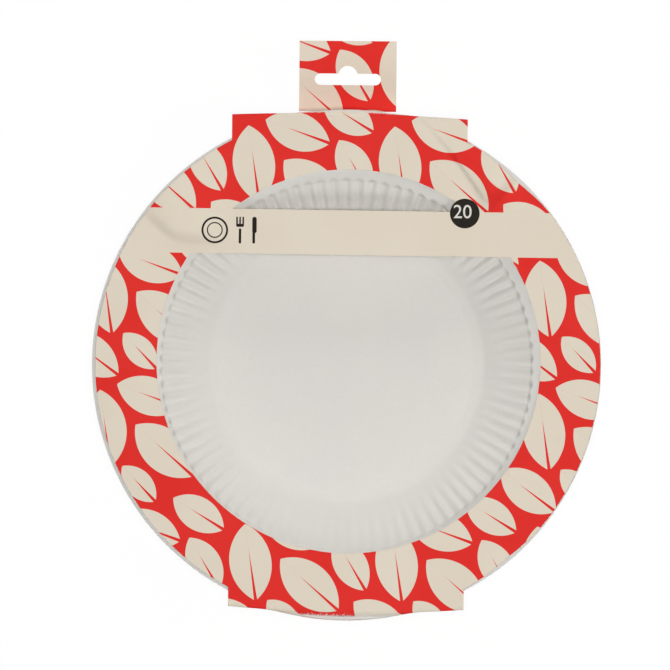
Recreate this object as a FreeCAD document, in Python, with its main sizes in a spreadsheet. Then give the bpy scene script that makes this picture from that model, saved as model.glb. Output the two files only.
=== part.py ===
import FreeCAD, Part
import Sketcher
import math
import os

# Retail pack of paper plates: a nested stack of fluted plates held in one folded card
# sleeve with a round window, a band across it and a hang tab.
# The pack lies on its back. The plates' axis is Z, +Y points to the hang tab, and the
# origin is where the axis meets the surface that the pack rests on.

os.makedirs("parts", exist_ok=True)
doc = FreeCAD.newDocument("paper_plate_pack")

# Driving dimensions, in millimetres and degrees
DRIVING = [
    ("plate_radius", 115.0, "outer edge of a plate"),
    ("floor_radius", 57.0, "edge of a plate's flat floor"),
    ("cove_angle", 14.0, "slope of the smooth cove round the floor"),
    ("wall_foot_radius", 62.6, "where the valleys of the fluted wall start"),
    ("wall_top_radius", 84.6, "where the valleys of the fluted wall end"),
    ("wall_rise", 12.6, "height of the fluted wall along a valley"),
    ("flute_count", 90, "flutes round the wall"),
    ("flute_depth", 1.2, "height of a flute's crest over its valley, at mid wall"),
    ("rim_angle", 8.0, "upward slope of the rim"),
    ("rim_turn_radius", 109.5, "where the rim turns down"),
    ("lip_angle", 22.0, "downward slope of the rim's edge"),
    ("paper", 0.45, "plate's paper, measured along Z"),
    ("nest_pitch", 0.8, "height of one nested plate over the next"),
    ("card", 0.4, "thickness of the sleeve's card"),
    ("seat_gap", 0.2, "play between the plates and the sleeve's back"),
    ("panel_gap", 0.3, "play between the top rim and the front panel"),
    ("wrap_gap", 0.15, "play between the plates' edge and the two strips"),
    ("panel_radius", 114.0, "outer edge of the round front panel"),
    ("panel_shift", 0.8, "front panel's centre, along X"),
    ("window_radius", 86.7, "round window in the front panel"),
    ("window_shift_x", 0.9, "window's centre, along X"),
    ("window_shift_y", 1.4, "window's centre, along Y"),
    ("band_width", 20.1, "band across the window"),
    ("band_centre", 59.95, "band's middle, along Y"),
    ("lug_radius", 6.7, "round lug that carries the count"),
    ("lug_x", 53.3, "lug's centre, along X"),
    ("lug_y", 68.2, "lug's centre, along Y"),
    ("strip_width", 106.4, "strips that wrap over the stack"),
    ("strip_shift", 0.6, "strips' middle, along X"),
    ("bow_radius", 314.0, "bow of a strip round the plates"),
    ("flat_half", 62.0, "half length of the back's flat part"),
    ("glue_above", 25.0, "reach of the outer flap past the axis"),
    ("glue_below", 15.0, "reach of the inner flap past the axis"),
    ("tab_width", 44.0, "hang tab across"),
    ("tab_shift", 0.2, "hang tab's middle, along X"),
    ("tab_length", 30.4, "hang tab from the strip to its end"),
    ("hook_slot_width", 30.0, "hook slot across"),
    ("hook_slot_height", 5.2, "hook slot, without its arch"),
    ("hook_slot_drop", 14.8, "tab's end to the slot's upper edge"),
    ("hook_arch_radius", 4.35, "arch in the middle of the hook slot"),
    ("card_turn", 0.5, "turn of the sleeve on the stack, clockwise from the front"),
]
PLATE_COUNT = 20

# Sizes that follow from the driving ones
DERIVED = [
    ("facet", "=cos(180deg / flute_count)"),
    ("cove_rise", "=(wall_foot_radius - floor_radius) * facet * tan(cove_angle * 1deg)"),
    ("rim_rise", "=(rim_turn_radius - wall_top_radius) * facet * tan(rim_angle * 1deg)"),
    ("lip_drop", "=(plate_radius - rim_turn_radius) * facet * tan(lip_angle * 1deg)"),
    ("crown", "=cove_rise + wall_rise + rim_rise"),
    ("first_floor", "=2 * card + seat_gap + paper"),
    ("stack_rise", "=(plate_count - 1) * nest_pitch"),
    ("panel_base", "=first_floor + stack_rise + crown + panel_gap"),
    ("panel_top", "=panel_base + card"),
    ("lip_base", "=first_floor + crown - lip_drop - paper"),
    ("wrap_reach", "=plate_radius + wrap_gap"),
    ("strip_reach", "=wrap_reach + card"),
    ("flap_top", "=lip_base - seat_gap"),
    ("tab_end", "=strip_reach + tab_length"),
    ("slot_top", "=tab_end - hook_slot_drop"),
    ("slot_base", "=slot_top - hook_slot_height"),
    ("slot_end_reach", "=(hook_slot_width - hook_slot_height) / 2"),
]


def make_sheet():
    sheet = doc.addObject("Spreadsheet::Sheet", "dims")
    rows = [(name, str(value), note) for name, value, note in DRIVING]
    rows.append(("plate_count", str(PLATE_COUNT), "plates in the stack"))
    rows += [(name, formula, "follows from the rows above") for name, formula in DERIVED]
    for number, (name, content, note) in enumerate(rows, start=1):
        sheet.set(f"A{number}", name)
        sheet.set(f"B{number}", content)
        sheet.set(f"C{number}", note)
        sheet.setAlias(f"B{number}", name)
    doc.recompute()
    return sheet


dims = make_sheet()


def size(name):
    return float(getattr(dims, name))


def bind(thing, **formulas):
    """Ties properties to the sheet. A double underscore in a name stands for a dot."""
    for name, formula in formulas.items():
        thing.setExpression(name.replace("__", "."), formula)
    return thing


def place(thing, x="0", y="0", z="0"):
    return bind(thing, Placement__Base__x=x, Placement__Base__y=y, Placement__Base__z=z)


# Plates

def polar(radius, angle, height):
    return FreeCAD.Vector(radius * math.cos(angle), radius * math.sin(angle), height)


def flute_lines():
    """Radius and height of the four ends of a flute's valley and crest lines.

    Every crest and valley line of the wall meets the axis in one point, which keeps the
    flutes' flanks flat. A crest starts and ends nearer to the axis than its valleys, so
    the wall has a scalloped edge at its foot and at its top.
    """
    facet = size("facet")
    cove = math.tan(math.radians(size("cove_angle")))
    rim = math.tan(math.radians(size("rim_angle")))
    foot, top = size("wall_foot_radius"), size("wall_top_radius")
    foot_height = size("cove_rise")
    top_height = foot_height + size("wall_rise")
    valley_slope = (top_height - foot_height) / (top - foot)
    apex = foot_height - valley_slope * foot
    crest_slope = valley_slope + size("flute_depth") * 2 / (foot + top)
    crest_foot = (-size("floor_radius") * facet * cove - apex) / (crest_slope - cove)
    crest_top = (top_height - top * facet * rim - apex) / (crest_slope - rim)
    return (
        (foot, foot_height),
        (top, top_height),
        (crest_foot, apex + crest_slope * crest_foot),
        (crest_top, apex + crest_slope * crest_top),
    )


def plate_skin(drop):
    """One face of a plate, as loops of corners, lowered by drop, and the plate's edge."""
    count = int(size("flute_count"))
    half = math.pi / count
    valley_foot, valley_top, crest_foot, crest_top = flute_lines()
    rim_turn = (size("rim_turn_radius"), size("crown"))
    edge = (size("plate_radius"), size("crown") - size("lip_drop"))

    def at(point, angle):
        return polar(point[0], angle, point[1] - drop)

    loops = [[at((size("floor_radius"), 0.0), (2 * i - 1) * half) for i in range(count)]]
    edges = []
    for i in range(count):
        middle = 2 * i * half
        left, right = middle - half, middle + half
        floor_left, floor_right = (at((size("floor_radius"), 0.0), a) for a in (left, right))
        foot_left, foot_right = (at(valley_foot, a) for a in (left, right))
        top_left, top_right = (at(valley_top, a) for a in (left, right))
        turn_left, turn_right = (at(rim_turn, a) for a in (left, right))
        edge_left, edge_right = (at(edge, a) for a in (left, right))
        foot_middle, top_middle = at(crest_foot, middle), at(crest_top, middle)
        loops.append([floor_left, foot_left, foot_middle, foot_right, floor_right])
        loops.append([foot_left, top_left, top_middle, foot_middle])
        loops.append([foot_middle, top_middle, top_right, foot_right])
        loops.append([top_left, turn_left, turn_right, top_right, top_middle])
        loops.append([turn_left, edge_left, edge_right, turn_right])
        edges.append((edge_left, edge_right))
    return loops, edges


def polygon_face(corners):
    return Part.Face(Part.makePolygon(corners + corners[:1]))


def plate_shape():
    upper, upper_edges = plate_skin(0.0)
    lower, lower_edges = plate_skin(size("paper"))
    faces = [polygon_face(loop) for loop in upper + lower]
    for (high_left, high_right), (low_left, low_right) in zip(upper_edges, lower_edges):
        faces.append(polygon_face([high_left, low_left, low_right, high_right]))
    shell = Part.makeShell(faces)
    shell.sewShape()
    solid = Part.makeSolid(shell)
    if solid.Volume < 0:
        solid.reverse()
    return solid


def make_plates():
    form = plate_shape()
    plates = []
    for number in range(PLATE_COUNT):
        plate = doc.addObject("Part::Feature", f"plate_{number + 1:02d}")
        plate.Label = plate.Name
        plate.Shape = form
        place(plate, z=f"dims.first_floor + {number} * dims.nest_pitch")
        plates.append(plate)
    return plates


# Card sleeve

def origin_plane(body, role):
    return next(f for f in body.Origin.OriginFeatures if f.Role == role)


def pinned_polygon(body, name, role, corners):
    """A closed sketch whose corners are each held by two sizes from the sheet."""
    sketch = body.newObject("Sketcher::SketchObject", name)
    sketch.AttachmentSupport = [(origin_plane(body, role), "")]
    sketch.MapMode = "FlatFace"
    values = [[float(body.evalExpression(text)) for text in corner] for corner in corners]
    points = [FreeCAD.Vector(u, v, 0) for u, v in values]
    for start, end in zip(points, points[1:] + points[:1]):
        sketch.addGeometry(Part.LineSegment(start, end), False)
    for i in range(len(points)):
        after = (i + 1) % len(points)
        sketch.addConstraint(Sketcher.Constraint("Coincident", i, 2, after, 1))
    for i, corner in enumerate(corners):
        for kind, text, value in zip(("DistanceX", "DistanceY"), corner, values[i]):
            held = sketch.addConstraint(Sketcher.Constraint(kind, -1, 1, i, 1, value))
            sketch.setExpression(f"Constraints[{held}]", text)
    return sketch


def padded(body, name, sketch, length, symmetric=False):
    pad = body.newObject("PartDesign::Pad", name)
    pad.Profile = sketch
    pad.SideType = "Symmetric" if symmetric else "One side"
    bind(pad, Length=length)
    return pad


def primitive(kind, name, **formulas):
    return bind(doc.addObject(kind, name), **formulas)


def combined(kind, name, shapes):
    result = doc.addObject(kind, name)
    result.Shapes = shapes
    return result


def cut(name, base, tool):
    result = doc.addObject("Part::Cut", name)
    result.Base = base
    result.Tool = tool
    return result


def side_prism(name, corners, width):
    """A pad of the pack's side outline, drawn in Y and Z and run along X."""
    body = doc.addObject("PartDesign::Body", name)
    sketch = pinned_polygon(body, f"{name}_outline", "YZ_Plane", corners)
    padded(body, f"{name}_pad", sketch, width, symmetric=True)
    return place(body, x="dims.strip_shift")


def bowed_block(name, radius, width):
    """The room between the two strips in plan, with ends that bow outwards."""
    ends = []
    for side, sign in (("top", ""), ("bottom", "-")):
        end = primitive("Part::Cylinder", f"{name}_{side}", Radius=radius, Height="2 * dims.panel_top")
        place(end, "dims.strip_shift", f"{sign}(dims.strip_reach - dims.bow_radius)", "-dims.panel_top / 2")
        ends.append(end)
    block = primitive(
        "Part::Box", f"{name}_sides", Length=width, Width="4 * dims.plate_radius", Height="2 * dims.panel_top"
    )
    place(block, f"dims.strip_shift - ({width}) / 2", "-2 * dims.plate_radius", "-dims.panel_top / 2")
    return combined("Part::MultiCommon", name, [block] + ends)


def make_wrap():
    """The front, the two strips and the two back flaps, folded round the stack.

    The bottom flap is the outer one. It lies flat on the ground, and the top flap's
    glued end lies on it. Both then rise to just under the lowest plate's edge.
    """
    far = "2 * dims.plate_radius"
    run = "(dims.wrap_reach - dims.flat_half)"
    top_slope = f"(dims.flap_top - 2 * dims.card) / {run}"
    bottom_slope = f"(dims.flap_top - dims.card) / {run}"
    beyond = f"({far} - dims.flat_half)"
    outside = [
        ("-dims.flat_half", "0"),
        ("dims.glue_above", "0"),
        ("dims.glue_above", "dims.card"),
        ("dims.flat_half", "dims.card"),
        (far, f"dims.card + {beyond} * {top_slope}"),
        (far, "dims.panel_top"),
        (f"-{far}", "dims.panel_top"),
        (f"-{far}", f"{beyond} * {bottom_slope}"),
    ]
    inside = [
        ("-dims.flat_half", "dims.card"),
        ("-dims.glue_below", "dims.card"),
        ("-dims.glue_below", "2 * dims.card"),
        ("dims.flat_half", "2 * dims.card"),
        (far, f"2 * dims.card + {beyond} * {top_slope}"),
        (far, "dims.panel_base"),
        (f"-{far}", "dims.panel_base"),
        (f"-{far}", f"dims.card + {beyond} * {bottom_slope}"),
    ]
    outer = combined(
        "Part::MultiCommon",
        "wrap_outer",
        [
            side_prism("outer_side", outside, "2 * dims.strip_width"),
            bowed_block("outer_bow", "dims.bow_radius", "dims.strip_width"),
        ],
    )
    inner = combined(
        "Part::MultiCommon",
        "wrap_inner",
        [
            side_prism("inner_side", inside, "3 * dims.strip_width"),
            bowed_block("inner_bow", "dims.bow_radius - dims.card", "2 * dims.strip_width"),
        ],
    )
    return cut("wrap", outer, inner)


def make_front_panel():
    panel = primitive(
        "Part::Cylinder", "front_panel", Radius="dims.panel_radius", Height="dims.card"
    )
    return place(panel, "dims.panel_shift", "0", "dims.panel_base")


def make_window():
    """The cutter for the window, which leaves the band and the round lug on it standing."""
    opening = primitive(
        "Part::Cylinder", "window_round", Radius="dims.window_radius", Height="3 * dims.card"
    )
    place(opening, "dims.window_shift_x", "dims.window_shift_y", "dims.panel_base - dims.card")
    band = primitive(
        "Part::Box",
        "window_band",
        Length="4 * dims.window_radius",
        Width="dims.band_width",
        Height="5 * dims.card",
    )
    place(
        band,
        "-2 * dims.window_radius",
        "dims.band_centre - dims.band_width / 2",
        "dims.panel_base - 2 * dims.card",
    )
    lug = primitive(
        "Part::Cylinder", "window_lug", Radius="dims.lug_radius", Height="5 * dims.card"
    )
    place(lug, "dims.lug_x", "dims.lug_y", "dims.panel_base - 2 * dims.card")
    return cut("window", opening, combined("Part::MultiFuse", "window_kept", [band, lug]))


def tab_level():
    """Height of the top flap's outer face at the strip, where the tab is hinged."""
    slope = "(dims.flap_top - 2 * dims.card) / (dims.wrap_reach - dims.flat_half)"
    return f"(dims.card + (dims.strip_reach - dims.flat_half) * {slope})"


def make_tab():
    body = doc.addObject("PartDesign::Body", "tab")
    low, high = "dims.wrap_reach", "dims.tab_end"
    left = "dims.tab_shift - dims.tab_width / 2"
    right = "dims.tab_shift + dims.tab_width / 2"
    corners = [(left, low), (right, low), (right, high), (left, high)]
    padded(body, "tab_pad", pinned_polygon(body, "tab_outline", "XY_Plane", corners), "dims.card")
    return place(body, z=tab_level())


def make_hook_slot():
    """The cutter for the hook slot: a long slot with round ends and a round arch."""
    base = f"{tab_level()} - dims.card"
    middle = "(dims.slot_top + dims.slot_base) / 2"
    shapes = [
        place(
            primitive(
                "Part::Box",
                "slot_middle",
                Length="2 * dims.slot_end_reach",
                Width="dims.hook_slot_height",
                Height="3 * dims.card",
            ),
            "dims.tab_shift - dims.slot_end_reach",
            "dims.slot_base",
            base,
        )
    ]
    for side, sign in (("left", "-"), ("right", "+")):
        end = primitive(
            "Part::Cylinder",
            f"slot_{side}",
            Radius="dims.hook_slot_height / 2",
            Height="3 * dims.card",
        )
        shapes.append(place(end, f"dims.tab_shift {sign} dims.slot_end_reach", middle, base))
    arch = primitive(
        "Part::Cylinder", "slot_arch", Radius="dims.hook_arch_radius", Height="3 * dims.card"
    )
    place(arch, "dims.tab_shift", "dims.slot_base + dims.hook_arch_radius", base)
    return combined("Part::MultiFuse", "hook_slot", shapes + [arch])


def make_tab_gap():
    """The cutter for the hole that the bent-out tab leaves in the top flap."""
    gap = primitive(
        "Part::Box",
        "tab_gap",
        Length="dims.tab_width",
        Width="dims.tab_length",
        Height=f"{tab_level()}",
    )
    return place(gap, "dims.tab_shift - dims.tab_width / 2", "dims.wrap_reach - dims.tab_length", "0")


def make_sleeve():
    card = combined("Part::MultiFuse", "folded_card", [make_wrap(), make_front_panel(), make_tab()])
    openings = combined(
        "Part::MultiFuse", "card_openings", [make_window(), make_hook_slot(), make_tab_gap()]
    )
    sleeve = cut("card_sleeve", card, openings)
    sleeve.Label = "card_sleeve"
    sleeve.Placement = FreeCAD.Placement(
        FreeCAD.Vector(0, 0, 0), FreeCAD.Rotation(FreeCAD.Vector(0, 0, -1), 1.0)
    )
    return bind(sleeve, Placement__Rotation__Angle="dims.card_turn * 1deg")


pieces = make_plates() + [make_sleeve()]
doc.recompute()

for thing in doc.Objects:
    if "Invalid" in thing.State or "Error" in thing.State:
        raise RuntimeError(f"{thing.Name} did not build: {thing.State}")
for piece in pieces:
    if piece.Shape.isNull() or not piece.Shape.isValid() or len(piece.Shape.Solids) != 1:
        raise RuntimeError(f"{piece.Label} is not one valid solid")
for piece in pieces:
    piece.Shape.exportStep(f"parts/{piece.Label}.step")
    box = piece.Shape.BoundBox
    print(
        f"{piece.Label}: {len(piece.Shape.Faces)} faces, {piece.Shape.Volume:.0f} mm3, "
        f"z {box.ZMin:.2f} to {box.ZMax:.2f}, y {box.YMin:.2f} to {box.YMax:.2f}"
    )
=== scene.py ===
import math
import random

import bmesh
import bpy
from mathutils import Matrix, Vector


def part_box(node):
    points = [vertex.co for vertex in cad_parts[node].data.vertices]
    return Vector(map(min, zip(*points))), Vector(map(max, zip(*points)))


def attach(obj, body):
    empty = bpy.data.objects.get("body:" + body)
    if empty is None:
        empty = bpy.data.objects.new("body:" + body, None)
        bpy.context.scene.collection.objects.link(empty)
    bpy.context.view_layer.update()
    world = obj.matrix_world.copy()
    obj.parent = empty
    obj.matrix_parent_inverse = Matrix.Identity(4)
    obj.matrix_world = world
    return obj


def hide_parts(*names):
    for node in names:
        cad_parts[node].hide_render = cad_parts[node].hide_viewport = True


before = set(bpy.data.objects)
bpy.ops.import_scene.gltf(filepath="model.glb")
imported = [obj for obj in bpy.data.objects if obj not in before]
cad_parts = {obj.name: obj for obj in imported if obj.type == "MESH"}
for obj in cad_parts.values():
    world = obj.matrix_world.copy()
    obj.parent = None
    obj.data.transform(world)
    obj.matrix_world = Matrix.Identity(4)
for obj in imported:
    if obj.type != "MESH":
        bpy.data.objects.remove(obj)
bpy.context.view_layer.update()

MM = 0.001
PLATE_NODES = [f"plate_{number:02d}" for number in range(1, 21)]

# A plate's section, from its floor outwards
FLUTES = 90
FLOOR_RADIUS = 57.0 * MM
COVE_SLOPE = math.tan(math.radians(14))
WALL_FOOT = 62.6 * MM
WALL_TOP = 84.6 * MM
WALL_RISE = 12.6 * MM
WALL_CURVE = 0.35
RISER_START = 83.3 * MM
RISER_SLOPE = math.tan(math.radians(56))
FLUTE_DEPTH = 2.0 * MM
FLUTE_GROWTH = 16.0 * MM
RIM_SLOPE = math.tan(math.radians(8))
RIM_TURN = 109.5 * MM
LIP_SLOPE = math.tan(math.radians(22))
PLATE_RADIUS = 115.0 * MM
PLATES_SHIFT = -0.3 * MM
PAPER = 0.45 * MM
PAPER_ACROSS = 0.37 * MM

# The sleeve's card, seen flat from the front
CARD = 0.4 * MM
CARD_TURN = math.radians(-0.5)
PANEL_RADIUS = 114.0 * MM
PANEL_SHIFT = 0.6 * MM
WINDOW_RADIUS = 86.7 * MM
WINDOW_CENTRE = Vector((0.9, 1.4)) * MM
BAND_HALF = 10.1 * MM
BAND_CENTRE = 59.5 * MM
BAND_LEAN = -0.006
LUG_CENTRE = Vector((52.8, 68.6)) * MM
LUG_RADIUS = 6.7 * MM
STRIP_HALF = 53.2 * MM
STRIP_SHIFT = 0.6 * MM
STRIP_REACH = 115.55 * MM
FLAT_HALF = 62.0 * MM
GLUE_ABOVE = 25.0 * MM
GLUE_BELOW = 15.0 * MM
TAB_HALF = 22.0 * MM
TAB_SHIFT = -0.5 * MM
TAB_LENGTH = 31.0 * MM
SLOT_HALF = 15.0 * MM
SLOT_RADIUS = 2.6 * MM
SLOT_DROP = 14.8 * MM
ARCH_RADIUS = 4.35 * MM

# How far two places may be apart and still count as one
TOUCHING = 1e-6

# Levels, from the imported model
PANEL_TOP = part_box("card_sleeve")[1][2]
FIRST_PLATE_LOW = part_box("plate_01")[0][2]
LIP_BASE = (
    FIRST_PLATE_LOW
    + (WALL_FOOT - FLOOR_RADIUS) * COVE_SLOPE
    + WALL_RISE
    + (RIM_TURN - WALL_TOP) * RIM_SLOPE
    - (PLATE_RADIUS - RIM_TURN) * LIP_SLOPE
)
FLAP_TOP = LIP_BASE - 0.2 * MM

# Printed and worn colours, as screen values
RED_TONES = ((240, 52, 47), (244, 58, 52))
CREAM_TONES = ((240, 228, 209), (243, 232, 214))
WORN_TONE = (250, 246, 240)
DARK_INK = (42, 37, 32)

random.seed(20)


# Materials


def linear(red, green, blue):
    """A colour given in eight-bit screen values, as the shader wants it."""

    def one(value):
        share = value / 255
        return share / 12.92 if share <= 0.04045 else ((share + 0.055) / 1.055) ** 2.4

    return (one(red), one(green), one(blue), 1.0)


class Shader:
    """A node material that is written as a chain of short calls."""

    def __init__(self, name):
        self.material = bpy.data.materials.new(name)
        self.material.use_nodes = True
        self.nodes = self.material.node_tree.nodes
        self.links = self.material.node_tree.links
        self.surface = self.nodes["Principled BSDF"]

    def feed(self, socket, value):
        if isinstance(value, bpy.types.NodeSocket):
            self.links.new(value, socket)
        else:
            socket.default_value = value

    def place(self):
        return self.nodes.new("ShaderNodeTexCoord").outputs["Object"]

    def attribute(self, name):
        node = self.nodes.new("ShaderNodeAttribute")
        node.attribute_name = name
        return node

    def math(self, operation, *values, clamp=False):
        node = self.nodes.new("ShaderNodeMath")
        node.operation = operation
        node.use_clamp = clamp
        for socket, value in zip(node.inputs, values):
            self.feed(socket, value)
        return node.outputs[0]

    def vector(self, operation, *values):
        node = self.nodes.new("ShaderNodeVectorMath")
        node.operation = operation
        for socket, value in zip(node.inputs, values):
            self.feed(socket, value)
        length_like = operation in ("LENGTH", "DISTANCE", "DOT_PRODUCT")
        return node.outputs["Value" if length_like else "Vector"]

    def parts(self, vector):
        node = self.nodes.new("ShaderNodeSeparateXYZ")
        self.feed(node.inputs[0], vector)
        return node.outputs

    def joined(self, x, y, z):
        node = self.nodes.new("ShaderNodeCombineXYZ")
        for socket, value in zip(node.inputs, (x, y, z)):
            self.feed(socket, value)
        return node.outputs[0]

    def turned(self, vector, angle):
        node = self.nodes.new("ShaderNodeVectorRotate")
        node.rotation_type = "Z_AXIS"
        self.feed(node.inputs["Vector"], vector)
        node.inputs["Angle"].default_value = angle
        return node.outputs[0]

    def noise(self, vector, scale, detail=2.0, roughness=0.5):
        node = self.nodes.new("ShaderNodeTexNoise")
        self.feed(node.inputs["Vector"], vector)
        node.inputs["Scale"].default_value = scale
        node.inputs["Detail"].default_value = detail
        node.inputs["Roughness"].default_value = roughness
        return node.outputs["Fac"]

    def spread(self, value, low, high, to_low=0.0, to_high=1.0, smooth=True):
        node = self.nodes.new("ShaderNodeMapRange")
        node.interpolation_type = "SMOOTHSTEP" if smooth else "LINEAR"
        for socket, given in zip(node.inputs, (value, low, high, to_low, to_high)):
            self.feed(socket, given)
        return node.outputs[0]

    def mix(self, share, first, second):
        node = self.nodes.new("ShaderNodeMix")
        node.data_type = "RGBA"
        self.feed(node.inputs["Factor"], share)
        self.feed(node.inputs[6], first)
        self.feed(node.inputs[7], second)
        return node.outputs[2]

    def cloudy(self, clouds, first, second):
        """Two close tones of one colour, mixed by a soft noise."""
        return self.mix(self.spread(clouds, 0.3, 0.7), linear(*first), linear(*second))

    def bump(self, height, strength, distance):
        node = self.nodes.new("ShaderNodeBump")
        node.inputs["Strength"].default_value = strength
        node.inputs["Distance"].default_value = distance
        self.feed(node.inputs["Height"], height)
        self.links.new(node.outputs[0], self.surface.inputs["Normal"])

    def finish(self, colour, roughness, specular=0.3):
        self.feed(self.surface.inputs["Base Color"], colour)
        self.feed(self.surface.inputs["Roughness"], roughness)
        self.surface.inputs["Specular IOR Level"].default_value = specular
        return self.material


def plate_paper():
    """White pressed paper: faint cloudy tone, short fibres, a soft pressed sheen, and painted
    shade along the flutes' valleys and at their upper ends.
    """
    shader = Shader("plate_paper")
    place = shader.place()
    clouds = shader.noise(place, 38.0, 3.0, 0.55)
    fibres = shader.noise(shader.vector("MULTIPLY", place, (1.0, 0.45, 1.0)), 2600.0, 3.0, 0.6)
    colour = shader.cloudy(clouds, (234, 232, 227), (237, 234, 228))
    grain = shader.spread(fibres, 0.35, 0.7, 0.0, 0.35)
    colour = shader.mix(grain, colour, linear(246, 244, 240))
    # Painted shade: a greyer tone where the flutes' valleys and their closed upper ends lie in
    # shade
    painted_shade = shader.attribute("painted_shade").outputs["Fac"]
    colour = shader.mix(painted_shade, colour, linear(204, 201, 196))
    coarse = shader.noise(place, 420.0, 2.0)
    height = shader.math("ADD", fibres, shader.math("MULTIPLY", coarse, 1.6))
    shader.bump(height, 0.25, 0.00012)
    return shader.finish(colour, shader.spread(clouds, 0.3, 0.7, 0.72, 0.8), 0.12)


# The printed pattern: leaves in a repeating field, in millimetres
TILE = (66.0, 60.0)
LEAVES = [
    (50.1, 20.4, 138.7, 35.0, 19.0),
    (23.4, 30.3, 98.3, 35.0, 19.0),
    (43.1, 45.0, 160.2, 31.0, 17.0),
    (16.6, 3.6, 143.3, 31.0, 17.0),
    (65.8, 52.0, 148.4, 27.0, 15.0),
    (2.6, 29.6, 120.6, 27.0, 15.0),
    (38.7, 5.3, 133.4, 22.0, 12.0),
]


def leaf_cover(shader, spot, leaf):
    """Share of cream at a spot for one leaf of the field: a pointed oval with a slit."""
    across, up, angle, length, width = leaf
    half_length, half_width = length / 2, width / 2
    arc = (half_length**2 + half_width**2) / (2 * half_width)
    tile = (*TILE, 1.0)
    local = shader.vector("DIVIDE", shader.vector("SUBTRACT", spot, (across, up, 0.0)), tile)
    local = shader.vector("FRACTION", shader.vector("ADD", local, (0.5, 0.5, 0.0)))
    local = shader.vector("MULTIPLY", shader.vector("SUBTRACT", local, (0.5, 0.5, 0.0)), tile)
    x, y, _ = shader.parts(shader.turned(local, math.radians(-angle)))
    side = shader.math("ABSOLUTE", y)
    raised = shader.math("ADD", side, arc - half_width)
    outside = shader.math("SUBTRACT", shader.vector("LENGTH", shader.joined(x, raised, 0.0)), arc)
    body = shader.spread(outside, -0.08, 0.08, 1.0, 0.0)
    slit_width = shader.spread(x, -half_length, half_length * 0.35, 0.75, 0.0, smooth=False)
    slit = shader.spread(shader.math("SUBTRACT", side, slit_width), -0.06, 0.06)
    return shader.math("MULTIPLY", body, slit)


def ring_cover(shader, spot, centre, radius, line):
    """Share of ink for a ring, or for a disc where the line is as wide as the radius."""
    away = shader.vector("DISTANCE", spot, (*centre, 0.0))
    off = shader.math("ABSOLUTE", shader.math("SUBTRACT", away, radius - line / 2))
    return shader.spread(shader.math("SUBTRACT", off, line / 2), -0.06, 0.06, 1.0, 0.0)


def bar_cover(shader, spot, centre, half_width, half_height, corner):
    """Share of ink for an upright bar with round corners."""
    local = shader.vector("ABSOLUTE", shader.vector("SUBTRACT", spot, (*centre, 0.0)))
    inner = (half_width - corner, half_height - corner, 0.0)
    past = shader.vector("MAXIMUM", shader.vector("SUBTRACT", local, inner), (0.0, 0.0, 0.0))
    away = shader.math("SUBTRACT", shader.vector("LENGTH", past), corner)
    return shader.spread(away, -0.06, 0.06, 1.0, 0.0)


def tableware_cover(shader, spot):
    """Share of ink for three small signs on the band: a plate, a fork and a knife."""
    shapes = [
        ring_cover(shader, spot, (-60.0, 60.2), 6.0, 0.9),
        ring_cover(shader, spot, (-60.0, 60.2), 3.6, 0.55),
        bar_cover(shader, spot, (-48.6, 57.6), 0.55, 3.4, 0.5),
        bar_cover(shader, spot, (-48.6, 62.4), 1.75, 0.7, 0.6),
        bar_cover(shader, spot, (-50.0, 64.2), 0.36, 2.1, 0.34),
        bar_cover(shader, spot, (-48.6, 64.2), 0.36, 2.1, 0.34),
        bar_cover(shader, spot, (-47.2, 64.2), 0.36, 2.1, 0.34),
        bar_cover(shader, spot, (-42.4, 57.0), 0.6, 2.8, 0.55),
        bar_cover(shader, spot, (-42.1, 62.6), 1.0, 3.7, 0.95),
    ]
    total = shapes[0]
    for shape in shapes[1:]:
        total = shader.math("MAXIMUM", total, shape)
    return total


def printed_card():
    """Coated card printed red and cream, worn pale where it is folded."""
    shader = Shader("printed_card")
    spot = shader.vector("SCALE", shader.attribute("flat_place").outputs["Vector"])
    spot.node.inputs["Scale"].default_value = 1000.0
    cream_share = leaf_cover(shader, spot, LEAVES[0])
    for leaf in LEAVES[1:]:
        cream_share = shader.math("MAXIMUM", cream_share, leaf_cover(shader, spot, leaf))
    across, up, _ = shader.parts(spot)
    middle = shader.math("MULTIPLY_ADD", across, BAND_LEAN, BAND_CENTRE / MM)
    off_band = shader.math("ABSOLUTE", shader.math("SUBTRACT", up, middle))
    band = shader.spread(shader.math("SUBTRACT", off_band, BAND_HALF / MM), -0.05, 0.05, 1.0, 0.0)
    cream_share = shader.math("MAXIMUM", cream_share, band)

    place = shader.place()
    clouds = shader.noise(place, 30.0, 2.0)
    cream = shader.cloudy(clouds, *CREAM_TONES)
    red = shader.cloudy(clouds, *RED_TONES)
    colour = shader.mix(cream_share, red, cream)
    colour = shader.mix(tableware_cover(shader, spot), colour, linear(*DARK_INK))
    fibres = shader.noise(place, 1500.0, 4.0, 0.65)
    wear = shader.attribute("fold_wear").outputs["Fac"]
    rubbed = shader.math("ADD", wear, shader.spread(fibres, 0.25, 0.75, -0.5, 0.5, smooth=False))
    rubbed_off = shader.spread(rubbed, 0.62, 0.85, 0.0, 0.85)
    colour = shader.mix(rubbed_off, colour, linear(*WORN_TONE))
    shader.bump(fibres, 0.12, 0.00006)
    return shader.finish(colour, shader.spread(clouds, 0.3, 0.7, 0.66, 0.74), 0.06)


def plain_card(name, light, dark, grain):
    """The card's unprinted side, or its cut edge."""
    shader = Shader(name)
    place = shader.place()
    fibres = shader.noise(place, grain, 3.0, 0.6)
    colour = shader.cloudy(fibres, dark, light)
    shader.bump(fibres, 0.25, 0.00008)
    return shader.finish(colour, 0.8, 0.2)


def ink(name, tone):
    """Solid printing ink with a trace of the card's grain under it."""
    shader = Shader(name)
    place = shader.place()
    fibres = shader.noise(place, 1800.0, 3.0, 0.6)
    lighter = tuple(min(255, level + 8) for level in tone)
    colour = shader.mix(shader.spread(fibres, 0.35, 0.75), linear(*tone), linear(*lighter))
    shader.bump(fibres, 0.12, 0.00005)
    return shader.finish(colour, 0.7, 0.1)


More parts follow.
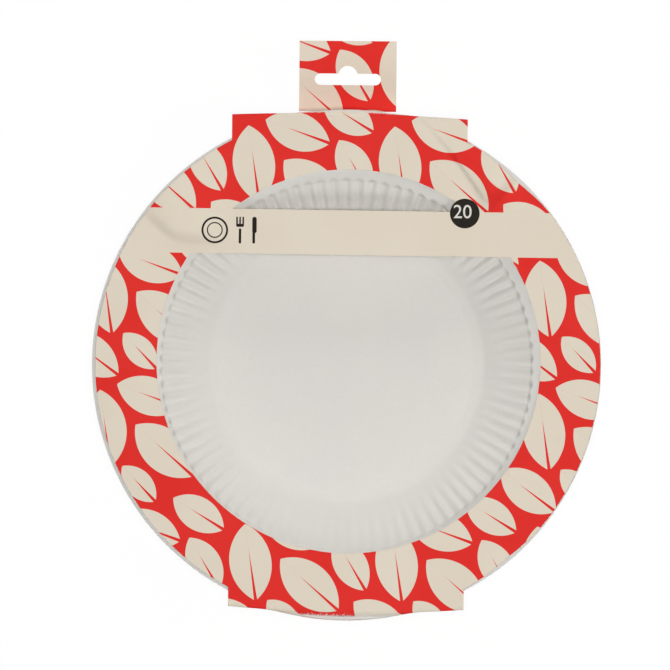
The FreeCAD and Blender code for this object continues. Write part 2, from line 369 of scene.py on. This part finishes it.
PLATE_PAPER = plate_paper()
PRINTED_CARD = printed_card()
CARD_BACK = plain_card("card_back", (222, 217, 208), (212, 206, 196), 900.0)
CARD_EDGE = plain_card("card_edge", (236, 230, 220), (214, 206, 194), 2200.0)
BLACK_INK = ink("black_ink", DARK_INK)
WHITE_INK = ink("white_ink", (232, 228, 220))


# Plates


def soft_min(first, second, blend):
    overlap = max(blend - abs(first - second), 0.0) / blend
    return min(first, second) - overlap * overlap * blend / 4


def soft_max(first, second, blend):
    return -soft_min(-first, -second, blend)


WALL_FOOT_HEIGHT = (WALL_FOOT - FLOOR_RADIUS) * COVE_SLOPE
WALL_TOP_HEIGHT = WALL_FOOT_HEIGHT + WALL_RISE
CROWN = WALL_TOP_HEIGHT + (RIM_TURN - WALL_TOP) * RIM_SLOPE


# The near side's flutes are shallower: how much, and over what angle to each side
NEAR_LOSS = 0.8
NEAR_SPREAD = 0.75

# Shape of a flute's section: its crests are a little wider than its valleys
CREST_POWER = 0.85

# Share of painted shade along the valleys and at their closed upper ends, where the pockets lie in
# shade
VALLEY_PAINTED_SHADE = 0.12
END_PAINTED_SHADE = 0.35


def flute_depth(radius, angle):
    """Depth of the flutes: none at the wall's foot, full near its top, and less towards
    the near side, where the press closed softly."""
    grown = max(0.0, min(1.0, (radius - WALL_FOOT) / FLUTE_GROWTH))
    from_near = math.remainder(angle + math.pi / 2, math.tau)
    softly = math.exp(-((from_near / NEAR_SPREAD) ** 2))
    return FLUTE_DEPTH * grown * grown * (3 - 2 * grown) * (1 - NEAR_LOSS * softly)


def valley_share(angle):
    """One in the middle of a flute's valley, none on the crests."""
    return 1 - (0.5 + 0.5 * math.cos(FLUTES * angle)) ** CREST_POWER


def painted_shade_share(radius, angle):
    """How much painted shade the paper gets in its flutes: lightly along the valleys, and most at
    their closed upper ends, where the pockets lie in shade."""
    depth = valley_share(angle) * flute_depth(radius, angle) / FLUTE_DEPTH
    upper_end = math.exp(-(((radius - RISER_START - 0.5 * MM) / (0.9 * MM)) ** 2))
    past = max(0.0, (radius - RISER_START) / (2 * MM))
    return depth * (VALLEY_PAINTED_SHADE * max(0.0, 1 - past) + END_PAINTED_SHADE * upper_end)


def plate_height(radius, angle, lip_droop, wave):
    """Height of a plate's upper face over its floor."""
    share = (radius - WALL_FOOT) / (WALL_TOP - WALL_FOOT)
    wall = WALL_FOOT_HEIGHT + WALL_RISE * (share + WALL_CURVE * share * (1 - share))
    wall += max(0.0, radius - RISER_START) * RISER_SLOPE
    wall -= valley_share(angle) * flute_depth(radius, angle)
    cove = soft_max(0.0, (radius - FLOOR_RADIUS) * COVE_SLOPE, 0.5 * MM)
    rim = WALL_TOP_HEIGHT + (radius - WALL_TOP) * RIM_SLOPE
    lip = CROWN - (radius - RIM_TURN) * (LIP_SLOPE + lip_droop)
    edge_share = max(0.0, (radius - WALL_TOP) / (PLATE_RADIUS - WALL_TOP))
    settled = wave[0] * math.sin(wave[1] * angle + wave[2]) * edge_share
    outer = soft_min(rim, lip, 0.9 * MM)
    inner = soft_max(cove, wall, 0.8 * MM)
    return soft_min(outer, inner, 0.3 * MM) + settled


def spaced(stops):
    """Radii from the axis outwards: each stop gives an end and the rows up to it."""
    radii, start = [0.0], 0.0
    for end, rows in stops:
        radii += [(start + (end - start) * (row + 1) / rows) * MM for row in range(rows)]
        start = end
    return radii


# Rows of a plate's mesh, in millimetres from the axis, and columns for each flute: fine
# for the plates that show, plain for those between them
FINE_ROWS = [
    (57.0, 3), (64.0, 8), (79.0, 8), (82.6, 3), (85.6, 12),
    (87.0, 2), (107.5, 4), (111.5, 6), (115.0, 3),
]
PLAIN_ROWS = [
    (57.0, 2), (64.0, 3), (79.0, 2), (83.3, 1), (84.9, 1),
    (86.5, 1), (108.0, 2), (111.0, 2), (115.0, 1),
]
FINE_COLUMNS = 8
PLAIN_COLUMNS = 4


def new_object(name, bm, materials):
    mesh = bpy.data.meshes.new(name)
    bm.to_mesh(mesh)
    bm.free()
    for material in materials:
        mesh.materials.append(material)
    piece = bpy.data.objects.new(name, mesh)
    bpy.context.scene.collection.objects.link(piece)
    return piece


def smooth_shaded(bm):
    """Smooth faces that stop crisply at the sheet's cut edges."""
    for face in bm.faces:
        face.smooth = True
    for edge in bm.edges:
        edge.smooth = not edge.is_boundary


def face_up(bm):
    """Makes the faces of an open sheet agree, with those at the top facing up."""
    bmesh.ops.recalc_face_normals(bm, faces=bm.faces[:])
    top = max(vert.co.z for vert in bm.verts) - 1.5 * MM
    upper = [face for face in bm.faces if face.calc_center_median().z > top]
    if sum(face.normal.z * face.calc_area() for face in upper) < 0:
        bmesh.ops.reverse_faces(bm, faces=bm.faces[:])


def spin_line(bm, radii, columns, merge):
    """Spins a line of points along X round the axis, and joins its start and end."""
    line = [bm.verts.new((radius, 0.0, 0.0)) for radius in radii]
    edges = [bm.edges.new(pair) for pair in zip(line, line[1:])]
    bmesh.ops.spin(
        bm,
        geom=line + edges,
        cent=(0, 0, 0),
        axis=(0, 0, 1),
        angle=math.tau,
        steps=columns,
        use_merge=True,
        use_duplicate=False,
    )
    bmesh.ops.remove_doubles(bm, verts=bm.verts[:], dist=merge)


def spun_disc(radii, columns):
    """A round sheet of its own."""
    bm = bmesh.new()
    spin_line(bm, radii, columns, TOUCHING)
    return bm


def thickened(piece, thickness, offset=-1.0, back=0, edge=0):
    solid = piece.modifiers.new("thickness", "SOLIDIFY")
    solid.thickness = thickness
    solid.offset = offset
    solid.material_offset = back
    solid.material_offset_rim = edge
    return piece


# How plates differ: the lip's droop, the rim's wave in height, and how far each slid
DROOP_MOST = 0.03
WAVE_HEIGHTS = (0.02, 0.07)
DRIFT_MOST = 0.04


def make_plate(node, fine):
    """One pressed plate, nested at its own level, a hair off centre as stacks are."""
    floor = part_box(node)[0][2] + PAPER
    rows = FINE_ROWS if fine else PLAIN_ROWS
    columns = FINE_COLUMNS if fine else PLAIN_COLUMNS
    bm = spun_disc(spaced(rows), FLUTES * columns)
    droop = random.uniform(-DROOP_MOST, DROOP_MOST)
    wave_height = random.uniform(*WAVE_HEIGHTS) * MM
    wave = (wave_height, random.choice((2, 3, 4)), random.uniform(0, math.tau))
    slide = random.uniform(0.0, math.tau)
    drift = Vector((math.cos(slide), math.sin(slide))) * random.uniform(0.0, DRIFT_MOST) * MM
    drift.y += PLATES_SHIFT
    # Painted shade for the flutes' valleys and upper ends, read by the paper's material
    painted_shade = bm.verts.layers.float.new("painted_shade")
    for vert in bm.verts:
        radius, angle = vert.co.xy.length, math.atan2(vert.co.y, vert.co.x)
        vert[painted_shade] = painted_shade_share(radius, angle)
        vert.co.z = floor + plate_height(radius, angle, droop, wave)
        vert.co.xy += drift
    face_up(bm)
    smooth_shaded(bm)
    piece = thickened(new_object(f"pressed_{node}", bm, [PLATE_PAPER]), PAPER_ACROSS)
    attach(piece, "root")
    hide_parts(node)


for plate_node in PLATE_NODES:
    make_plate(plate_node, plate_node in (PLATE_NODES[0], PLATE_NODES[-1]))


# Card sleeve

# Buckles in the front, in millimetres: the points of each crease line, its height, its
# width and the share of its height at each point. The card bulges on the left of a line,
# seen along its run.
BUCKLES = [
    (
        [(-94.0, 69.0), (-89.5, 64.5), (-84.2, 59.2), (-78.2, 55.4), (-70.0, 54.2), (-50.0, 53.0)],
        2.4, 5.5, [0.1, 0.7, 1.0, 1.0, 0.9, 0.0],
    ),
    (
        [(61.5, 69.0), (64.8, 70.7), (68.4, 74.3), (72.0, 78.3), (77.5, 85.0)],
        3.4, 5.6, [0.0, 0.45, 1.0, 1.0, 0.4],
    ),
    ([(84.0, -54.0), (90.0, -57.5), (96.5, -62.5)], 0.25, 5.0, [0.3, 1.0, 0.3]),
    ([(74.0, 60.0), (80.0, 62.5), (87.0, 65.0)], 0.2, 3.0, [0.2, 1.0, 0.2]),
    ([(103.0, 30.0), (96.0, 22.0), (92.0, 12.0)], 0.15, 6.0, [0.2, 1.0, 0.2]),
]


def crease_reading(spot, points, shares):
    """Distance from a crease line, positive on its left, and its share of height there."""
    nearest, best = 1e9, (0.0, 0.0)
    stops = list(zip(points, shares))
    for (start, share_a), (end, share_b) in zip(stops, stops[1:]):
        a, b = Vector(start), Vector(end)
        run = b - a
        along = max(0.0, min(1.0, (spot - a).dot(run) / run.length_squared))
        off = spot - (a + run * along)
        side = run.x * off.y - run.y * off.x
        if off.length < nearest:
            nearest = off.length
            best = (math.copysign(nearest, side), share_a + (share_b - share_a) * along)
    return best


def bulge_share(steps):
    """Height of a bulge that starts steeply at its crease, crests one width away and
    dies out slowly."""
    if steps < 1:
        return steps * math.exp((1 - steps * steps) / 2)
    return 1 / (1 + ((steps - 1) / 3) ** 2)


def front_level(x, y):
    """Height of the card's printed face over the front of the pack."""
    spot = Vector((x, y)) / MM
    height = 0.0
    for points, rise, width, shares in BUCKLES:
        signed, share = crease_reading(spot, points, shares)
        if signed > 0:
            height += rise * share * bulge_share(signed / width)
    return PANEL_TOP + height * MM


def crease_y(x, side):
    """The front fold of a strip, nearly straight."""
    across = x / MM
    if side > 0:
        return (113.2 - 0.0135 * across - 0.00052 * across * across) * MM
    return (111.9 + 0.009 * across - 0.0007 * across * across) * MM


def face_y(x, side):
    """How far out a strip's face stands, pushed out by the plates in its middle."""
    plates = math.sqrt((PLATE_RADIUS + 0.5 * MM) ** 2 - x * x) + side * PLATES_SHIFT
    return soft_max(crease_y(x, side) + 0.1 * MM, plates, 1.6 * MM)


def ray_to_circle(start, way, centre, radius):
    off = start - centre
    half = off.dot(way)
    return -half + math.sqrt(half * half - off.length_squared + radius * radius)


# Places round the front where the card's edge stands back: direction and width in
# degrees, depth
DENTS = [(48.0, 7.0, 1.6 * MM), (310.0, 6.0, 0.9 * MM)]

# Rounds after which the outline's meeting with a curved fold stands still, and how
# steep a direction has to be to meet a fold at all
FOLD_ROUNDS = 12
FOLD_STEEPNESS = 0.3


def panel_reach(angle):
    """Distance from the window's centre to the front panel's outline."""
    way = Vector((math.cos(angle), math.sin(angle)))
    reach = ray_to_circle(WINDOW_CENTRE, way, Vector((PANEL_SHIFT, 0.0)), PANEL_RADIUS)
    side = 1 if way.y > 0 else -1
    for edge in (STRIP_SHIFT - STRIP_HALF, STRIP_SHIFT + STRIP_HALF):
        if abs(way.x) > TOUCHING and (edge - WINDOW_CENTRE.x) / way.x > 0:
            to_edge = (edge - WINDOW_CENTRE.x) / way.x
            high = (WINDOW_CENTRE.y + way.y * to_edge) * side
            if to_edge > reach and high < crease_y(edge, side):
                return to_edge
    to_fold = reach
    for _ in range(FOLD_ROUNDS):
        spot = WINDOW_CENTRE + way * to_fold
        across = max(-STRIP_HALF, min(STRIP_HALF, spot.x - STRIP_SHIFT)) + STRIP_SHIFT
        to_fold = 0.0
        if abs(way.y) > FOLD_STEEPNESS:
            to_fold = (side * crease_y(across, side) - WINDOW_CENTRE.y) / way.y
    spot = WINDOW_CENTRE + way * to_fold
    if abs(spot.x - STRIP_SHIFT) <= STRIP_HALF + 1e-7 and to_fold > 0:
        return to_fold
    turn = math.degrees(angle)
    return reach - sum(depth * math.exp(-(((turn - at) / wide) ** 2)) for at, wide, depth in DENTS)


def angle_to(x, y):
    return math.atan2(y - WINDOW_CENTRE.y, x - WINDOW_CENTRE.x) % math.tau


# Rounds after which the band's leaning edge meets the window's rim
BAND_ROUNDS = 9


def corner_angles():
    """Directions in which the front panel's outline or window has a corner."""
    found = []
    for side in (1, -1):
        for across in (-STRIP_HALF, STRIP_HALF):
            x = STRIP_SHIFT + across
            shoulder = math.sqrt(PANEL_RADIUS**2 - (x - PANEL_SHIFT) ** 2)
            found += [angle_to(x, side * crease_y(x, side)), angle_to(x, side * shoulder)]
    for across in (-TAB_HALF, TAB_HALF):
        x = TAB_SHIFT + across
        found.append(angle_to(x, crease_y(x, 1)))
    for half in (-BAND_HALF, BAND_HALF):
        for side in (-1, 1):
            turn = 0.6
            for _ in range(BAND_ROUNDS):
                x = WINDOW_CENTRE.x + side * WINDOW_RADIUS * math.cos(turn)
                rise = BAND_CENTRE + BAND_LEAN * x + half - WINDOW_CENTRE.y
                turn = math.asin(rise / WINDOW_RADIUS)
            found.append(turn if side > 0 else math.pi - turn)
    return found


COLUMNS = 720
RING_ROWS = 32
RING_MERGE = 1e-4


def column_angles():
    """Even directions round the window, of which the nearest are moved to the corners."""
    angles = [math.tau * column / COLUMNS for column in range(COLUMNS)]
    for corner in corner_angles():
        angles[round(corner / math.tau * COLUMNS) % COLUMNS] = corner
    return angles


ANGLES = column_angles()


# A strip's run: air between flap and plates, how far the card sinks for each step that
# its fold bulges out, how far down its upright face starts, and the sizes of the rear
# fold and of the bend to the flat part
FLAP_AIR = 0.1 * MM
BULGE_FALL = 1.5
FACE_START = 2.0 * MM
REAR_FOLD = 0.35 * MM
FLAT_BEND = 0.8 * MM

# The stretch of the run, counted from nought, at whose end the hang tab stands out
TAB_KEY = 4


def strip_keys(x, side):
    """Corners of a strip's run in Y and Z, at a place across it: from the front fold over
    the plates' edges, round the rear fold, down to the flat part and on to its end."""
    fold = crease_y(x, side)
    face = face_y(x, side)
    level = front_level(x, side * fold)
    layer = CARD if side > 0 else 0.0
    rise = (FLAP_TOP - layer - CARD - FLAP_AIR) / (STRIP_REACH - CARD - FLAT_HALF)
    rear = layer + (face - FLAT_HALF) * rise
    end = -GLUE_BELOW if side > 0 else -GLUE_ABOVE
    bulge = (face - fold) * BULGE_FALL
    return [
        (fold, level),
        (fold + 0.35 * (face - fold), level - 0.12 * bulge - 0.12 * MM),
        (face - 0.08 * (face - fold), level - bulge - 0.4 * MM),
        (face, level - bulge - FACE_START),
        (face, rear + REAR_FOLD),
        (face - REAR_FOLD, rear),
        (FLAT_HALF + FLAT_BEND, layer + FLAT_BEND * rise + 0.06 * MM),
        (FLAT_HALF - FLAT_BEND, layer),
        (end, layer),
    ]


# Rows of the mesh after each corner of the run
FACE_ROWS = [1, 2, 2, 8, 1, 20, 1, 14]


def strip_rows(side):
    """Each new row of a strip as the key that it follows and its share of the way on."""
    rows = []
    for key, count in enumerate(FACE_ROWS):
        rows += [(key, (step + 1) / count) for step in range(count)]
    return rows


def along_strip(x, side, key, share):
    """Y, Z and unrolled distance of a point on a strip."""
    keys = [Vector(point) for point in strip_keys(x, side)]
    unrolled = keys[0].x + sum((b - a).length for a, b in zip(keys[:key], keys[1 : key + 1]))
    spot = keys[key].lerp(keys[key + 1], share)
    return spot.x, spot.y, unrolled + (keys[key + 1] - keys[key]).length * share


# How rubbed the front folds themselves are
FOLD_WEAR = 0.3


def wear_at(key, share, x):
    """How rubbed a row is: most where the plates push, less at the rear fold."""
    pushed = max(0.0, 1 - (abs(x - STRIP_SHIFT) / (27 * MM)) ** 4)
    fading = 0.6 * pushed * (1 - share) ** 2
    rows = {0: 0.25 + 0.4 * pushed, 1: 0.1 + 1.1 * pushed, 2: 0.75 * pushed, 3: fading, 4: 0.35}
    return rows.get(key, 0.0)


def extend_strip(bm, flat, worn, side):
    """Runs the card on from the front fold, row by row, to the flap's glued end."""
    edges = [
        edge
        for edge in bm.edges
        if edge.is_boundary
        and all(
            abs(vert[flat].y - side * crease_y(vert[flat].x, side)) < TOUCHING
            and abs(vert[flat].x - STRIP_SHIFT) < STRIP_HALF + TOUCHING
            for vert in edge.verts
        )
    ]
    for edge in edges:
        for vert in edge.verts:
            vert[worn] = FOLD_WEAR
    for key, share in strip_rows(side):
        made = bmesh.ops.extrude_edge_only(bm, edges=edges)["geom"]
        edges = [item for item in made if isinstance(item, bmesh.types.BMEdge)]
        for vert in (item for item in made if isinstance(item, bmesh.types.BMVert)):
            x = vert[flat].x
            y, z, unrolled = along_strip(x, side, key, share)
            vert.co = (x, side * y, z)
            vert[flat] = (x, side * unrolled, 0.0)
            vert[worn] = wear_at(key, share, x)


def front_ring(bm, flat):
    """The round front, with the window's rim inside and the panel's outline outside."""
    spin_line(bm, [1.0 + row for row in range(RING_ROWS + 1)], COLUMNS, RING_MERGE)
    reaches = [panel_reach(angle) for angle in ANGLES]
    for vert in bm.verts:
        share = (vert.co.length - 1.0) / RING_ROWS
        column = round(math.atan2(vert.co.y, vert.co.x) / math.tau * COLUMNS) % COLUMNS
        angle = ANGLES[column]
        reach = WINDOW_RADIUS + (reaches[column] - WINDOW_RADIUS) * share
        x = WINDOW_CENTRE.x + reach * math.cos(angle)
        y = WINDOW_CENTRE.y + reach * math.sin(angle)
        vert[flat] = (x, y, 0.0)
        vert.co = (x, y, 0.0)


# Rows across the window in the band's mesh
BAND_CUTS = 119


def front_band(bm, flat):
    """The band, bridged across the window between the two stretches of its rim."""
    ends = [
        edge
        for edge in bm.edges
        if edge.is_boundary
        and all(
            abs((vert.co.xy - WINDOW_CENTRE).length - WINDOW_RADIUS) < TOUCHING
            and abs(vert.co.y - BAND_CENTRE - BAND_LEAN * vert.co.x) < BAND_HALF + TOUCHING
            for vert in edge.verts
        )
    ]
    across = bmesh.ops.bridge_loops(bm, edges=ends)["edges"]
    cut = bmesh.ops.subdivide_edges(bm, edges=across, cuts=BAND_CUTS, use_grid_fill=True)
    for item in cut["geom"]:
        if isinstance(item, bmesh.types.BMVert):
            item[flat] = (item.co.x, item.co.y, 0.0)


def arc_points(centre, radius, start, end, steps):
    """Points on an arc, angles in degrees, both ends included."""
    turns = [math.radians(start + (end - start) * step / steps) for step in range(steps + 1)]
    return [centre + Vector((math.cos(turn), math.sin(turn))) * radius for turn in turns]


# Steps round each end of the slot and over its arch
SLOT_STEPS = 14
ARCH_STEPS = 20


def hook_slot_outline(top):
    """The slot's outline: round ends and a round arch over the middle."""
    middle = Vector((TAB_SHIFT, top - SLOT_RADIUS))
    reach = Vector((SLOT_HALF - SLOT_RADIUS, 0.0))
    arch = Vector((TAB_SHIFT, top - 2 * SLOT_RADIUS + ARCH_RADIUS))
    lean = math.degrees(math.asin((top - arch.y) / ARCH_RADIUS))
    return (
        arc_points(middle + reach, SLOT_RADIUS, -90, 90, SLOT_STEPS)
        + arc_points(arch, ARCH_RADIUS, lean, 180 - lean, ARCH_STEPS)
        + arc_points(middle - reach, SLOT_RADIUS, 90, 270, SLOT_STEPS)
    )


def closed_outline(bm, points):
    verts = [bm.verts.new((point.x, point.y, 0.0)) for point in points]
    return [bm.edges.new(pair) for pair in zip(verts, verts[1:] + verts[:1])]


# How far the tab's foot reaches in under the rear fold
TAB_SINK = 0.3 * MM


def hang_tab(bm, flat):
    """The tab, cut out of the top flap and left standing where the strip folds back."""
    face, rear, unrolled = along_strip(TAB_SHIFT, 1, TAB_KEY, 1.0)
    foot = face - TAB_SINK
    end = STRIP_REACH + TAB_LENGTH
    left, right = TAB_SHIFT - TAB_HALF, TAB_SHIFT + TAB_HALF
    corners = [Vector(spot) for spot in ((left, foot), (right, foot), (right, end), (left, end))]
    edges = closed_outline(bm, corners) + closed_outline(bm, hook_slot_outline(end - SLOT_DROP))
    filled = bmesh.ops.triangle_fill(bm, edges=edges, use_beauty=True, normal=(0, 0, 1))
    faces = [item for item in filled["geom"] if isinstance(item, bmesh.types.BMFace)]
    level = rear + CARD
    for vert in {vert for tab_face in faces for vert in tab_face.verts}:
        vert[flat] = (vert.co.x, unrolled + vert.co.y - foot, 0.0)
        vert.co.z = level
    if faces[0].normal.z < 0:
        bmesh.ops.reverse_faces(bm, faces=faces)
    return faces


def make_sleeve():
    bm = bmesh.new()
    flat = bm.verts.layers.float_vector.new("flat_place")
    worn = bm.verts.layers.float.new("fold_wear")
    front_ring(bm, flat)
    front_band(bm, flat)
    for vert in bm.verts:
        vert.co.z = front_level(vert.co.x, vert.co.y)
    for side in (1, -1):
        extend_strip(bm, flat, worn, side)
    rear = along_strip(TAB_SHIFT, 1, TAB_KEY, 1.0)[2]
    gap = [
        face
        for face in bm.faces
        if abs(face.calc_center_median().x - TAB_SHIFT) < TAB_HALF
        and rear < sum(vert[flat].y for vert in face.verts) / len(face.verts) < rear + TAB_LENGTH
    ]
    bmesh.ops.delete(bm, geom=gap, context="FACES")
    face_up(bm)
    hang_tab(bm, flat)
    smooth_shaded(bm)
    bm.transform(Matrix.Rotation(CARD_TURN, 4, "Z"))
    piece = new_object("folded_card_sleeve", bm, [PRINTED_CARD, CARD_BACK, CARD_EDGE])
    thickened(piece, CARD, back=1, edge=2)
    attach(piece, "root")
    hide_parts("card_sleeve")


make_sleeve()


# The lug's mesh, and how far its face and its number lie over the card's printed face
LUG_RINGS = 6
LUG_COLUMNS = 96
LUG_LIFT = 0.08 * MM
NUMBER_LIFT = 0.1 * MM

# The number's size, its place from the lug's centre and how much its strokes are thickened
NUMBER_SIZE = 8.6 * MM
NUMBER_PLACE = Vector((-1.0 * MM, 0.5 * MM))
NUMBER_WEIGHT = 0.03 * MM


def make_count_mark():
    """The round lug on the band, printed black, with a plain number."""
    turn = Matrix.Rotation(CARD_TURN, 4, "Z")
    bm = spun_disc([LUG_RADIUS * ring / LUG_RINGS for ring in range(LUG_RINGS + 1)], LUG_COLUMNS)
    for vert in bm.verts:
        vert.co.xy += LUG_CENTRE
        vert.co.z = front_level(vert.co.x, vert.co.y) + LUG_LIFT
    face_up(bm)
    bm.transform(turn)
    lug = new_object("count_lug", bm, [BLACK_INK, CARD_BACK, CARD_EDGE])
    thickened(lug, CARD, back=1, edge=2)

    curve = bpy.data.curves.new("count_number", "FONT")
    curve.body = "20"
    curve.size = NUMBER_SIZE
    curve.align_x = "CENTER"
    curve.align_y = "CENTER"
    curve.offset = NUMBER_WEIGHT
    curve.extrude = NUMBER_WEIGHT
    curve.resolution_u = 8
    text = bpy.data.objects.new("count_number", curve)
    bpy.context.scene.collection.objects.link(text)
    mesh = bpy.data.meshes.new_from_object(text)
    bpy.data.objects.remove(text)
    for vert in mesh.vertices:
        spot = LUG_CENTRE + NUMBER_PLACE + vert.co.xy
        vert.co = (*spot, front_level(*spot) + NUMBER_LIFT + vert.co.z)
    mesh.transform(turn)
    mesh.materials.clear()
    mesh.materials.append(WHITE_INK)
    number = bpy.data.objects.new("count_digits", mesh)
    bpy.context.scene.collection.objects.link(number)
    for piece in (lug, number):
        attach(piece, "root")


make_count_mark()


# Floor, light and camera

# How far the floor lies under the pack, so that the card's back and the floor don't coincide
FLOOR_DROP = 0.1 * MM

# Half the floor's side, in metres
FLOOR_HALF = 6.0

# How much of the floor's look is its own glow, and how bright that is
GLOW_SHARE = 0.93
GLOW_STRENGTH = 1.02


def make_floor():
    """A white floor, which the camera sees evenly lit and which still takes a faint shadow."""
    bm = bmesh.new()
    bmesh.ops.create_grid(bm, x_segments=1, y_segments=1, size=FLOOR_HALF)
    shader = Shader("pale_floor")
    nodes, links = shader.nodes, shader.links
    speckle = shader.noise(shader.place(), 25.0)
    tone = shader.mix(speckle, linear(244, 244, 244), linear(250, 250, 250))
    shader.finish(tone, 0.9, 0.0)
    glow = nodes.new("ShaderNodeEmission")
    seen = nodes.new("ShaderNodeMixShader")
    path = nodes.new("ShaderNodeLightPath")
    watched = shader.math("MAXIMUM", path.outputs["Is Camera Ray"], path.outputs["Is Glossy Ray"])
    watched = shader.math("MAXIMUM", watched, path.outputs["Is Transmission Ray"])
    links.new(shader.math("MULTIPLY", watched, GLOW_SHARE), seen.inputs[0])
    glow.inputs["Strength"].default_value = GLOW_STRENGTH
    links.new(shader.surface.outputs[0], seen.inputs[1])
    links.new(glow.outputs[0], seen.inputs[2])
    links.new(seen.outputs[0], nodes["Material Output"].inputs["Surface"])
    floor = new_object("floor", bm, [shader.material])
    floor.location.z = -FLOOR_DROP


# Soft boxes: name, place, size across and along, watts, colour
SOFT_BOXES = [
    ("overhead", (0.0, 0.0, 2.0), (0.3, 0.3), 17.7, (1.0, 1.0, 1.0)),
    ("far_low", (0.0, 1.88, 0.68), (1.6, 0.6), 10.6, (1.0, 0.985, 0.96)),
    ("far_high", (0.0, 1.41, 1.41), (0.8, 0.8), 2.3, (1.0, 1.0, 1.0)),
    ("near_high", (0.0, -1.41, 1.41), (0.8, 0.8), 8.3, (1.0, 1.0, 1.0)),
    ("right_high", (1.41, 0.0, 1.41), (0.8, 0.8), 4.1, (1.0, 0.96, 0.9)),
]


# Where the boxes point, and the dome's strength in the light and as the camera sees it
LIT_SPOT = Vector((0.0, 0.0, 0.02))
DOME_LIGHT = 0.02
DOME_SEEN = 1.0


def make_light():
    """A box overhead gives most of the light, and four from the sides fill it in."""
    world = bpy.data.worlds.new("soft_dome")
    world.use_nodes = True
    bpy.context.scene.world = world
    tree = world.node_tree
    background = tree.nodes["Background"]
    background.inputs["Color"].default_value = (1.0, 1.0, 1.0, 1.0)
    path = tree.nodes.new("ShaderNodeLightPath")
    level = tree.nodes.new("ShaderNodeMapRange")
    level.inputs["To Min"].default_value = DOME_LIGHT
    level.inputs["To Max"].default_value = DOME_SEEN
    tree.links.new(path.outputs["Is Camera Ray"], level.inputs["Value"])
    tree.links.new(level.outputs[0], background.inputs["Strength"])

    for name, spot, (across, along), watts, colour in SOFT_BOXES:
        box = bpy.data.lights.new(name, "AREA")
        box.shape = "RECTANGLE"
        box.size, box.size_y = across, along
        box.energy = watts
        box.color = colour
        lamp = bpy.data.objects.new(name, box)
        lamp.location = spot
        way = LIT_SPOT - Vector(spot)
        lamp.rotation_euler = way.to_track_quat("-Z", "Y").to_euler()
        bpy.context.scene.collection.objects.link(lamp)


# The photo's middle in the pack's own place, and the width that it shows at the rims
PHOTO_MIDDLE = Vector((-5.2, 13.3)) * MM
PHOTO_WIDTH = 302.5 * MM
CAMERA_AWAY = 5.0
SENSOR_WIDTH = 36.0


def make_camera():
    camera = bpy.data.cameras.new("camera")
    camera.sensor_fit = "HORIZONTAL"
    camera.sensor_width = SENSOR_WIDTH
    camera.lens = SENSOR_WIDTH * CAMERA_AWAY / PHOTO_WIDTH
    camera.clip_end = 20.0
    view = bpy.data.objects.new("camera", camera)
    view.location = (*PHOTO_MIDDLE, PANEL_TOP + CAMERA_AWAY)
    bpy.context.scene.collection.objects.link(view)
    bpy.context.scene.camera = view


make_floor()
make_light()
make_camera()
bpy.context.scene.view_settings.view_transform = "Standard"
